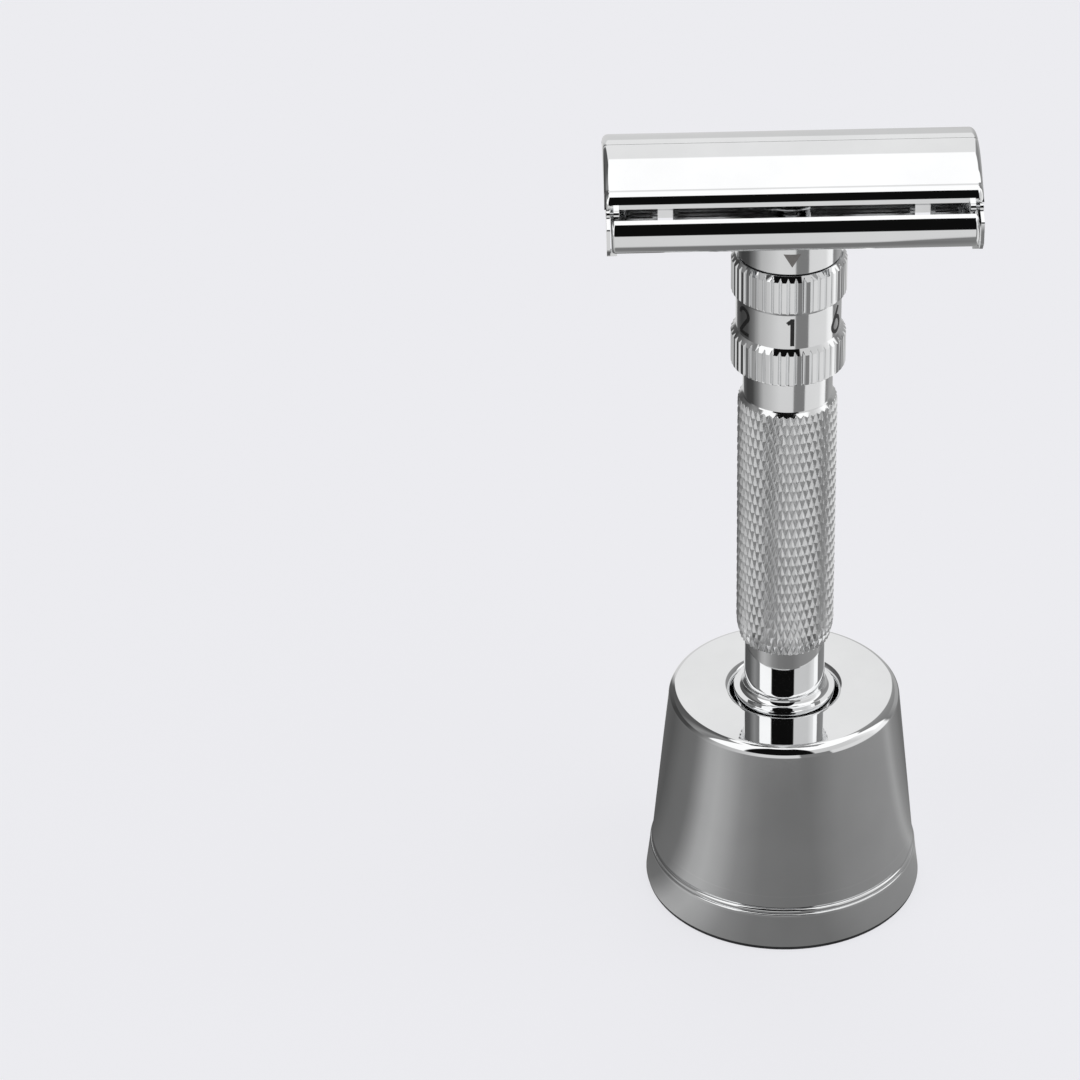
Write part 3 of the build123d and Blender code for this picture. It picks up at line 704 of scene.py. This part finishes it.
def guard():
    """Guard plate with its two rolled bars, its drain windows and its screw holes."""
    axis = (BAR_REACH - BAR_RADIUS, 99.79)
    floor = GUARD_FLOOR

    def outline_at(inset):
        arc = rolled_arc(axis, BAR_RADIUS - inset, 24, 128, 26)
        top, bottom = arc[0], arc[-1]
        half = [(0, floor), (BAR_REACH - 2.1, floor)]
        half += [(top[0] - 0.12, floor + 0.9), (top[0] - 0.12, top[1] - 0.08)]
        half += arc
        half += [(bottom[0] - 0.35, bottom[1] - 0.02), (bottom[0] - 0.85, GUARD_UNDERSIDE)]
        half.append((0, GUARD_UNDERSIDE))
        return half + [(-y, z) for y, z in reversed(half[1:-1])]

    piece = loft_x("guard_bars", end_sections(BAR_HALF, 0.45, outline_at))
    low, high = GUARD_UNDERSIDE - 1, floor + 1
    cuts = [rod_z(4.85, low, high)]
    for x_low, x_high in ((7.4, 12.6), (13.8, 19.0)):
        window = rounded([(x_low, 4.0, 0.5), (x_high, 4.0, 0.5), (x_high, 8.8, 0.5), (x_low, 8.8, 0.5)], 15)
        cuts += mirrored(mirrored([prism_z("window", window, low, high)], 0), 1)
    cuts += mirrored([rod_z(GUARD_SCREW_HOLE, low, high, GUARD_SCREW_X, 0, 24)], 0)
    cuts += mirrored([rod_z(GUARD_SCREW_RECESS, floor - 0.5, high, GUARD_SCREW_X, 0, 32)], 0)
    combine(piece, cuts, "DIFFERENCE")
    smooth(piece)
    stand_for(piece, "guard_plate", polished)


def butterfly_doors():
    """Two arched doors with a rolled lip, hollow below, with pierced ears for the hinge pins."""
    arch_radius = 11.65
    lip_radius = 1.82
    skin = 0.9
    arch_axis = (0, HEAD_TOP - arch_radius)
    lip_axis = (7.0, 102.38)
    lip_bottom = 102.5
    seam = 0.03

    def outline_at(inset):
        arch = arch_radius - inset
        lip = lip_radius - inset
        apart = math.hypot(lip_axis[0], lip_axis[1] - arch_axis[1])
        along = (arch ** 2 - lip ** 2 + apart ** 2) / (2 * apart)
        lean = math.degrees(math.atan2(lip_axis[0], lip_axis[1] - arch_axis[1]))
        crease = lean - math.degrees(math.acos(along / arch))
        meet = rolled(arch_axis, arch, crease)
        lip_start = math.degrees(math.atan2(meet[0] - lip_axis[0], meet[1] - lip_axis[1]))
        start = math.degrees(math.asin((seam + 0.05) / arch))
        arc = rolled_arc(arch_axis, arch, start, crease - 0.8, 24)
        bead = rolled_arc(lip_axis, lip, lip_start + 6, 85, 22)
        first, last = Vector(arc[-1]), Vector(bead[0])
        bend = []
        for i in range(1, 4):
            t = i / 4
            bend.append(tuple(first * (1 - t) ** 2 + Vector(meet) * 2 * t * (1 - t) + last * t ** 2))
        top = arc[0][1]
        edge = [(seam, lip_bottom), (seam, top - 0.05), (seam + 0.015, top - 0.012)]
        return edge + arc + bend + bead + [(8.7, lip_bottom)]

    inner = arch_radius - skin
    end = math.degrees(math.asin(6.9 / inner))
    hollow = rolled_arc(arch_axis, inner, -math.degrees(math.asin(1 / inner)), end, 20)
    hollow += [(7.2, 102.85), (7.85, 102.85), (7.95, lip_bottom), (7.95, 101.5), (-1.0, 101.5)]
    y, z = PIVOT
    arm = [(y, z - 0.4), (y, z + 0.4), (9.2, 102.85), (8.6, 103.1), (8.3, 103.2), (8.05, 102.9),
           (8.05, 102.6), (8.6, 102.0), (9.1, 101.9)]
    ear_low, ear_high = 20.55, 21.2
    rear = loft_x("rear_door_skin", end_sections(HEAD_HALF, 0.7, outline_at))
    wall = HEAD_HALF - 0.5
    combine(rear, [loft_x("hollow", [(-wall, hollow), (wall, hollow)])], "DIFFERENCE")
    ears = mirrored([loft_x("ear", [(ear_low, arm), (ear_high, arm)])], 0)
    combine(rear, ears, "UNION")
    combine(rear, mirrored([rod_x(0.48, ear_low + 0.01, ear_high - 0.01, y, z)], 0), "UNION")
    combine(rear, mirrored([rod_x(0.35, ear_low - 1, HEAD_HALF - 0.6, y, z)], 0), "DIFFERENCE")
    front = mirrored([rear], 1)[1]
    front.name = "front_door_skin"
    for piece, node in ((rear, "door_rear"), (front, "door_front")):
        smooth(piece)
        stand_for(piece, node, polished)


def end_plates():
    """Plates that close the head's ends, carry the hinge pins and hook under the guard."""
    foot_low = 97.3
    half = [(0, 99.2), (6.0, 99.2, 0.6), (8.7, 98.2), (9.4, foot_low, 0.1), (10.6, foot_low, 0.3),
            (11.9, 98.7, 0.5), (12.0, 101.5, 0.3), (10.4, 102.05), PIVOT, (9.1, 102.05), (8.4, 102.3, 0.1),
            (0, 102.3)]
    outline = half + [(-point[0], *point[1:]) for point in reversed(half[1:-1])]
    outline = rounded(outline, 15)
    right = loft_x("end_plate_r", [(PLATE_INSIDE, outline), (PLATE_OUTSIDE, outline)])
    y, z = PIVOT
    combine(right, mirrored([rod_x(0.5, PLATE_INSIDE, PLATE_OUTSIDE, y, z)], 1), "UNION")
    foot = [(9.4, foot_low), (10.5, foot_low), (10.5, foot_low + 0.4), (9.4, foot_low + 0.4)]
    feet = mirrored([loft_x("foot", [(PLATE_INSIDE - 0.8, foot), (PLATE_INSIDE + 0.1, foot)])], 1)
    combine(right, feet, "UNION")
    holes = mirrored([rod_x(0.31, PLATE_INSIDE - 1, PLATE_OUTSIDE + 1, y, z, 24)], 1)
    holes += mirrored([rod_x(RIVET_HOLE, PLATE_INSIDE - 1, PLATE_OUTSIDE + 1, *RIVET, 24)], 1)
    combine(right, holes, "DIFFERENCE")
    left = mirrored([right], 0)[1]
    left.name = "end_plate_l"
    for piece, node in ((right, "end_plate_right"), (left, "end_plate_left")):
        bevel(piece, 0.05)
        smooth(piece)
        stand_for(piece, node, polished)


def bed():
    """Crowned blade bed: ribs with a milled channel, drain slots, locating nubs and end tongues."""
    crown = 31.2            # radius across the blade
    crest = BED_CREST
    underside = BED_UNDERSIDE
    rib_bottom = 100.8
    wall = 1.6
    slot_start = 6.6        # inner end of the drain slots

    def crowned(reach, low, half_length):
        lean = math.degrees(math.asin(reach / crown))
        outline = rolled_arc((0, crest - crown), crown, -lean, lean, 16) + [(reach, low), (-reach, low)]
        return loft_x("crowned", [(-half_length, outline), (half_length, outline)])

    piece = crowned(BED_REACH, rib_bottom, BED_HALF)
    piece.name = "blade_bed_milled"
    hollow = block((-BED_HALF - 1, BED_HALF + 1), (wall - BED_REACH, BED_REACH - wall), (99, underside))
    combine(piece, [hollow], "DIFFERENCE")
    combine(piece, [crowned(7.0, underside - 0.001, BED_END)], "UNION")
    walls = mirrored([block((BED_END - 0.4, BED_END), (-6, 6), (101.2, underside + 0.2))], 0)
    combine(piece, walls, "UNION")
    cuts = []
    high = crest + 1
    slots = mirrored([block((14.2, 16.0), (slot_start, BED_REACH + 1), (100, high))], 0)
    cuts += mirrored(slots + [block((-2, 2), (slot_start, BED_REACH + 1), (100, high))], 1)
    for low in (rib_bottom + 0.3, rib_bottom + 0.8):
        for x in ((2.6, 13.6), (16.6, 19.2)):
            channels = mirrored([block(x, (BED_REACH - 0.25, BED_REACH + 1), (low, low + 0.25))], 0)
            cuts += mirrored(channels, 1)
    combine(piece, cuts, "DIFFERENCE")
    nub = rounded([(9.5, -1.1, 1.09), (16.5, -1.1, 1.09), (16.5, 1.1, 1.09), (9.5, 1.1, 1.09)], 15)
    combine(piece, mirrored([prism_z("nub", nub, underside, crest + 0.75)], 0), "UNION")
    holes = mirrored([rod_z(SCREW_HOLE, underside - 1, high, 0, SCREW_Y, 24)], 1)
    holes += mirrored([rod_z(0.95, underside + 0.45, high, 0, SCREW_Y, 32)], 1)
    rivet_holes = mirrored([rod_x(RIVET_HOLE, BED_END - 1, BED_END + 1, *RIVET, 24)], 0)
    holes += mirrored(rivet_holes, 1)
    combine(piece, holes, "DIFFERENCE")
    bevel(piece, 0.05)
    smooth(piece)
    stand_for(piece, "blade_bed", ground)


# ---------------------------------------------------------------- small hardware
def turned_at(outline, x, y, sides=40):
    """Small turned part on its own vertical axis."""
    piece = lathe("part", rounded(outline, 15), sides)
    piece.data.transform(Matrix.Translation((x * MM, y * MM, 0)))
    return piece


def slotted_screws(name, node, radius, head, low, seat, top, places):
    """Cheese-head screws with a driver slot."""
    screws = []
    for x, y in places:
        outline = [(0, low), (radius, low, 0.08), (radius, seat), (head, seat), (head, top, 0.08), (0, top)]
        screw = turned_at(outline, x, y)
        slot = block((x - 0.12, x + 0.12), (y - head - 1, y + head + 1), (top - 0.18, top + 1))
        combine(screw, [slot], "DIFFERENCE")
        screws.append(screw)
    piece = merged(name, screws)
    smooth(piece)
    stand_for(piece, node, steel)


def lying(outline, y, z, sides=32):
    """Small turned part whose axis lies along X."""
    piece = lathe("part", rounded(outline, 15), sides)
    turn = Matrix(((0, 0, 1, 0), (0, 1, 0, y * MM), (-1, 0, 0, z * MM), (0, 0, 0, 1)))
    piece.data.transform(turn)
    return piece


def rivets():
    face = PLATE_OUTSIDE
    head = HEAD_HALF - 0.05
    tail = BED_END - 0.6
    outline = [(0, tail), (0.45, tail), (0.45, face), (0.65, face), (0.65, head, 0.12), (0, head)]
    parts = mirrored([lying(outline, *RIVET)], 0)
    piece = merged("end_rivet_set", mirrored(parts, 1))
    smooth(piece)
    stand_for(piece, "end_rivets", steel)


def hinge_pins():
    high = box("door_pins")[1].x
    low = high - 1.6
    outline = [(0, low), (0.3, low, 0.06), (0.3, high, 0.06), (0, high)]
    parts = mirrored([lying(outline, *PIVOT)], 0)
    piece = merged("hinge_pin_set", mirrored(parts, 1))
    smooth(piece)
    stand_for(piece, "door_pins", steel)


tapered_shell()
foot_pad()
twist_knob()
knurled_grip()
neck()
setting_dial()
guard()
butterfly_doors()
end_plates()
bed()
slotted_screws("bed_screw_set", "bed_screws", 0.5, 0.9, POST_TOP - 1.8, BED_UNDERSIDE + 0.5, BED_CREST - 0.3,
               ((0, SCREW_Y), (0, -SCREW_Y)))
slotted_screws("guard_screw_set", "guard_screws", 0.4, 0.75, GUARD_UNDERSIDE - 0.55, GUARD_FLOOR - 0.45,
               GUARD_FLOOR - 0.05, ((GUARD_SCREW_X, 0), (-GUARD_SCREW_X, 0)))
rivets()
hinge_pins()


# ---------------------------------------------------------------- studio
PALE = (0.839, 0.839, 0.871)   # backdrop and floor
GAIN = 1 / 0.905               # makes up for what the chrome itself takes away


def ramp(n, turn, stops):
    """Brightness by azimuth: stops are (degrees, brightness), 0 in front, growing towards +X."""
    node = n.add("ShaderNodeValToRGB")
    n.join(turn, node.inputs[0])
    elements = node.color_ramp.elements
    elements[0].position = 0.0
    elements[1].position = 1.0
    for i, (degrees, level) in enumerate(stops):
        position = (degrees + 180) / 360
        if i == 0:
            element = elements[0]
        elif i == len(stops) - 1:
            element = elements[len(elements) - 1]
        else:
            element = elements.new(position)
        element.position = position
        element.color = (level, level, level, 1.0)
    return node.outputs[0]


# Reflected brightness by azimuth in degrees: 0 in front, growing towards +X.
# UPPER is high on the walls, OUTER low on the walls and, on the glowing card below, the painted reflection of
# the lit bench far out; INNER is that card close in, darker as painted shade round the stand.
# CAP is the height at which the white ceiling begins, as a share of a right angle.
UPPER = [(-180, 0.75), (-156, 0.75), (-154, 0.08), (-120, 0.095), (-96, 0.25), (-84, 0.19), (-78, 0.2),
         (-76, 1.0), (-41, 1.0), (-39, 0.004), (25, 0.004), (26, 0.578), (70, 0.578), (91, 0.78), (92, 1.0),
         (108, 1.0), (109, 0.2), (152, 0.26), (156, 0.75), (180, 0.75)]
OUTER = [(-180, 0.6), (-158, 0.6), (-150, 0.1), (-126, 0.045), (-102, 0.055), (-83, 0.175), (-66, 0.42),
         (-51, 0.485), (-23, 0.62), (11, 0.62), (12, 0.185), (40, 0.185), (41, 0.66), (83, 0.68), (92, 0.85),
         (105, 0.9), (109, 0.18), (128, 0.32), (156, 0.36), (180, 0.6)]
INNER = [(-180, 0.75), (-157, 0.75), (-152, 0.11), (-122, 0.09), (-103, 0.136), (-86, 0.15), (-79, 0.22),
         (-69, 0.36), (-59, 0.40), (-47, 0.33), (-36, 0.235), (-19, 0.175), (0, 0.159), (19, 0.16), (41, 0.22),
         (94, 0.27), (103, 0.35), (112, 0.25), (134, 0.147), (154, 0.18), (158, 0.75), (180, 0.75)]
CAP = [(-180, 0.633), (-150, 0.72), (-80, 0.75), (-39, 0.86), (24, 0.86), (27, 0.555), (90, 0.555), (110, 0.6),
       (150, 0.633), (180, 0.633)]
WALLS_MEET = (0.13, 0.17)      # heights between which OUTER gives way to UPPER, as shares of a right angle
CEILING_EDGE = 0.012           # half-width of the ceiling's soft edge
BENCH_MEET = (0.078, 0.118)    # metres from the middle between which the painted shade of INNER gives way to OUTER
FLOOR_RADIUS = 4.0             # metres


def azimuth(n, vector):
    """0 to 1 once round, 0.5 in front."""
    parts = n.add("ShaderNodeSeparateXYZ")
    n.join(vector, parts.inputs[0])
    angle = n.math("ARCTAN2", parts.outputs[0], n.math("MULTIPLY", parts.outputs[1], -1.0))
    return n.math("ADD", n.math("MULTIPLY", angle, 0.5 / math.pi), 0.5), parts


def light_world():
    """Softboxes, flags and a white ceiling for the reflections; the backdrop itself is plain and pale."""
    world = bpy.data.worlds.new("studio")
    bpy.context.scene.world = world
    world.use_nodes = True
    n = Nodes(world.node_tree)
    place = n.add("ShaderNodeTexCoord")
    turn, parts = azimuth(n, place.outputs["Generated"])
    height = n.math("MULTIPLY", n.math("ARCSINE", parts.outputs[2]), 2 / math.pi)
    sides = n.mix(n.between(height, *WALLS_MEET, 0.0, 1.0, True), ramp(n, turn, OUTER), ramp(n, turn, UPPER))
    ceiling = n.math("SUBTRACT", height, ramp(n, turn, CAP))
    above = n.between(ceiling, -CEILING_EDGE, CEILING_EDGE, 0.0, 1.0, True)
    everything = n.mix(above, sides, (1.0, 1.0, 1.0))
    studio = n.add("ShaderNodeBackground")
    n.join(everything, studio.inputs["Color"])
    studio.inputs["Strength"].default_value = GAIN
    plain = n.add("ShaderNodeBackground")
    plain.inputs["Color"].default_value = (*PALE, 1.0)
    rays = n.add("ShaderNodeLightPath")
    choose = n.add("ShaderNodeMixShader")
    n.join(rays.outputs["Is Camera Ray"], choose.inputs[0])
    n.join(studio.outputs[0], choose.inputs[1])
    n.join(plain.outputs[0], choose.inputs[2])
    output = n.add("ShaderNodeOutputWorld")
    n.join(choose.outputs[0], output.inputs["Surface"])


def disc(name, radius, height):
    """Round sheet that belongs to the studio, in metres, and the nodes of its own empty material."""
    mesh = bpy.data.meshes.new(name)
    mesh.from_pydata([(x, y, height) for x, y in circle(radius, sides=96)], [], [tuple(range(96))])
    piece = bpy.data.objects.new(name, mesh)
    bpy.context.scene.collection.objects.link(piece)
    material = bpy.data.materials.new(name)
    material.use_nodes = True
    mesh.materials.append(material)
    return piece, Nodes(material.node_tree)


def floors():
    """A pale floor for the eye, and under it a glowing card seen only in reflections: a painted reflection of
    a bench with light and dark parts for the chrome, darker close in as painted shade round the stand.
    """
    pale, n = disc("pale_floor", FLOOR_RADIUS, -0.00003)
    pale.visible_glossy = False
    glow = n.add("ShaderNodeEmission")
    glow.inputs["Color"].default_value = (*PALE, 1.0)
    glow.inputs["Strength"].default_value = 0.857
    matt = n.add("ShaderNodeBsdfDiffuse")
    matt.inputs["Color"].default_value = (0.2, 0.2, 0.208, 1.0)
    both = n.add("ShaderNodeAddShader")
    output = n.add("ShaderNodeOutputMaterial")
    n.join(glow.outputs[0], both.inputs[0])
    n.join(matt.outputs[0], both.inputs[1])
    n.join(both.outputs[0], output.inputs["Surface"])
    # Glowing card, no lamp, seen only by glossy rays: painted reflection of a lit bench, with painted shade
    # close in round the stand.
    painted_reflection_floor, n = disc("painted_reflection_floor", FLOOR_RADIUS, -0.00006)
    painted_reflection_floor.visible_camera = False
    painted_reflection_floor.visible_diffuse = False
    painted_reflection_floor.visible_shadow = False
    place = n.add("ShaderNodeTexCoord")
    turn, parts = azimuth(n, place.outputs["Object"])
    square = n.math("ADD", n.math("MULTIPLY", parts.outputs[0], parts.outputs[0]),
                    n.math("MULTIPLY", parts.outputs[1], parts.outputs[1]))
    reach = n.math("SQRT", square)
    # Painted shade close in (INNER) gives way to the painted reflection of the lit bench far out (OUTER).
    tone = n.mix(n.between(reach, *BENCH_MEET, 0.0, 1.0, True), ramp(n, turn, INNER), ramp(n, turn, OUTER))
    glow = n.add("ShaderNodeEmission")
    n.join(tone, glow.inputs["Color"])
    glow.inputs["Strength"].default_value = GAIN
    output = n.add("ShaderNodeOutputMaterial")
    n.join(glow.outputs[0], output.inputs["Surface"])


def camera():
    """Long lens, from in front and above; the place is in metres."""
    lens = bpy.data.cameras.new("camera")
    lens.lens = 145
    lens.sensor_width = 36
    lens.clip_start = 0.01
    eye = bpy.data.objects.new("camera", lens)
    eye.location = (-0.02812, -0.46065, 0.34100)
    eye.rotation_euler = [math.radians(angle) for angle in (57.852, 1.131, -0.385)]
    bpy.context.scene.collection.objects.link(eye)
    bpy.context.scene.camera = eye


bpy.context.scene.view_settings.view_transform = "Standard"
light_world()
floors()
camera()
